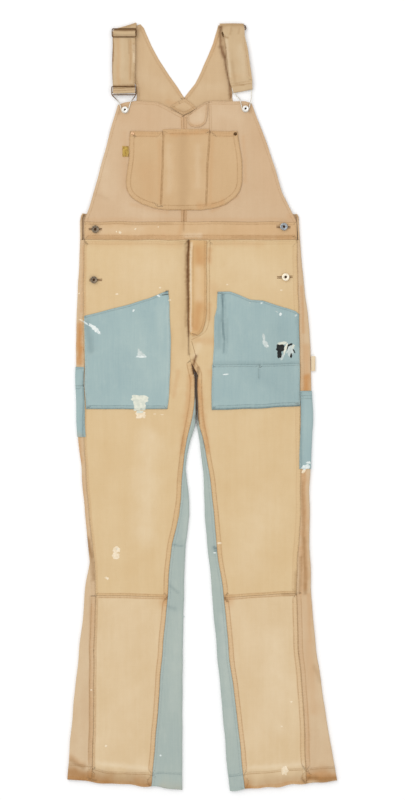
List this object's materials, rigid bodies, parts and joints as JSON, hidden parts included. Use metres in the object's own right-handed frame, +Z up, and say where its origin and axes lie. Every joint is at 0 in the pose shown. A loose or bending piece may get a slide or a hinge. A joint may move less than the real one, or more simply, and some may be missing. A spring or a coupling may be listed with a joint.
{
  "type": "paint spattered overalls",
  "caption": "Bib overalls of worn tan canvas, laid flat on their back, with faded denim pockets and leg gussets, paint spatter and metal strap fittings.",
  "frame": {"origin": "middle of the garment's length and width, on the surface it lies on", "axes": "+Y along the garment towards its bib and straps, +X to the right as seen from above, +Z up out of the front"},
  "size_m": [0.54, 1.5352, 0.0114],
  "materials": {
    "canvas": "matt worn cotton duck canvas, sun-bleached, with orange wear at the seams",
    "side_canvas": "matt worn cotton duck canvas, a little darker and oranger",
    "strap_canvas": "matt worn cotton duck canvas, folded and stitched",
    "denim": "matt faded blue denim, with paint spots",
    "steel": "worn dull steel",
    "brass": "dark aged brass",
    "cream_metal": "cream painted metal, chipped",
    "tag": "plain woven tag, dull yellow"
  },
  "bodies": {
    "root": {"back_bib_left": "canvas", "back_bib_right": "canvas", "back_cross_patch": "side_canvas", "back_leg_left": "side_canvas", "back_leg_right": "side_canvas", "bib_button_left": "steel", "bib_button_right": "steel", "bib_left": "canvas", "bib_pocket": "canvas", "bib_right": "canvas", "bib_watch_patch": "canvas", "blank_tag": "tag", "buckle_left": "steel", "buckle_right": "steel", "fly_placket": "side_canvas", "front_shin_left": "canvas", "front_shin_right": "canvas", "front_thigh_left": "canvas", "front_thigh_right": "canvas", "gusset_left": "denim", "gusset_right": "denim", "hammer_loop": "canvas", "hip_button_left": "steel", "hip_button_right": "cream_metal", "hip_pocket_left": "denim", "hip_pocket_right": "denim", "hip_pocket_right_lower": "denim", "rivet_left": "brass", "rivet_right": "brass", "side_pocket_left": "denim", "side_pocket_right": "denim", "side_stand_left": "canvas", "side_stand_right": "canvas", "slide_left": "steel", "slide_right": "steel", "strap_left": "strap_canvas", "strap_right": "strap_canvas", "waist_button_left": "steel", "waist_button_right": "steel", "waistband_back": "side_canvas", "waistband_front": "canvas"}
  },
  "joints": []
}
